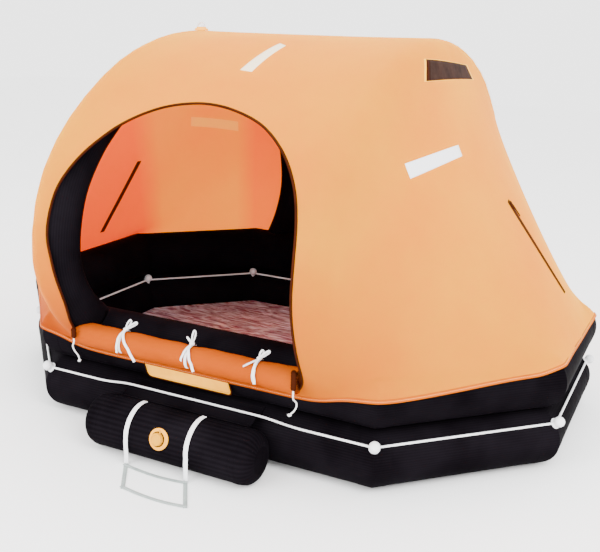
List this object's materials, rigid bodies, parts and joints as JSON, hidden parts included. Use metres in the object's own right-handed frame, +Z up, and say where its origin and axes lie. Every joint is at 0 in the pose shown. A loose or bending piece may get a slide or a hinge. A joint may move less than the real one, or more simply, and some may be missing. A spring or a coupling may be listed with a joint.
{
  "type": "life raft",
  "caption": "Inflated life raft: stacked octagonal buoyancy tubes under a hooped canopy with an open entrance, a hinged boarding float and a webbing ladder.",
  "frame": {"origin": "middle of the raft's flat underside, on the plane that it stands on", "axes": "+X along the raft's length, +Z up, and the entrance with its boarding float faces -Y"},
  "size_m": [2.2028, 2.0419, 1.3788],
  "materials": {
    "black_rubber": "coated fabric, satin",
    "orange_cloth": "coated canopy cloth, satin",
    "white_webbing": "woven webbing",
    "white_rope": "braided rope",
    "cream_plastic": "moulded, satin",
    "pink_floor": "crinkled insulating sheet",
    "brown_zip": "moulded plastic and zip tape",
    "clear_lamp": "clear moulded lens"
  },
  "bodies": {
    "raft": {"lower_tube": "black_rubber", "upper_tube": "black_rubber", "hoop_left": "black_rubber", "hoop_right": "black_rubber", "floor_sheet": "black_rubber", "floor_mat": "pink_floor", "canopy_front": "orange_cloth", "canopy_roof": "orange_cloth", "canopy_back": "orange_cloth", "canopy_end_left": "orange_cloth", "canopy_end_right": "orange_cloth", "canopy_corner_front_left": "orange_cloth", "canopy_corner_front_right": "orange_cloth", "canopy_corner_back_left": "orange_cloth", "canopy_corner_back_right": "orange_cloth", "vent_left": "brown_zip", "vent_right": "brown_zip", "door_roll": "orange_cloth", "door_tie_1": "white_webbing", "door_tie_2": "white_webbing", "door_tie_3": "white_webbing", "toggle_left": "brown_zip", "pull_cord_left": "white_rope", "toggle_right": "brown_zip", "pull_cord_right": "white_rope", "boarding_sign": "cream_plastic", "lifeline_outer": "white_rope", "lifeline_inner": "white_rope", "hinge_web_tube": "black_rubber", "canopy_light": "clear_lamp"},
    "float": {"boarding_float": "black_rubber", "hinge_web_float": "black_rubber", "float_valve": "cream_plastic", "ladder_strap_left": "white_webbing", "ladder_strap_right": "white_webbing"},
    "ladder": {"ladder": "white_webbing"}
  },
  "joints": [
    {"name": "float_fold", "type": "hinge", "parent": "raft", "child": "float", "pos_m": [-0.01, -0.7812, 0.178], "axis": [-1, 0, 0], "range_deg": [0, 45]},
    {"name": "ladder_swing", "type": "hinge", "parent": "float", "child": "ladder", "pos_m": [-0.031, -0.95956, 0.0033], "axis": [1, 0, 0], "range_deg": [0, 90]}
  ]
}
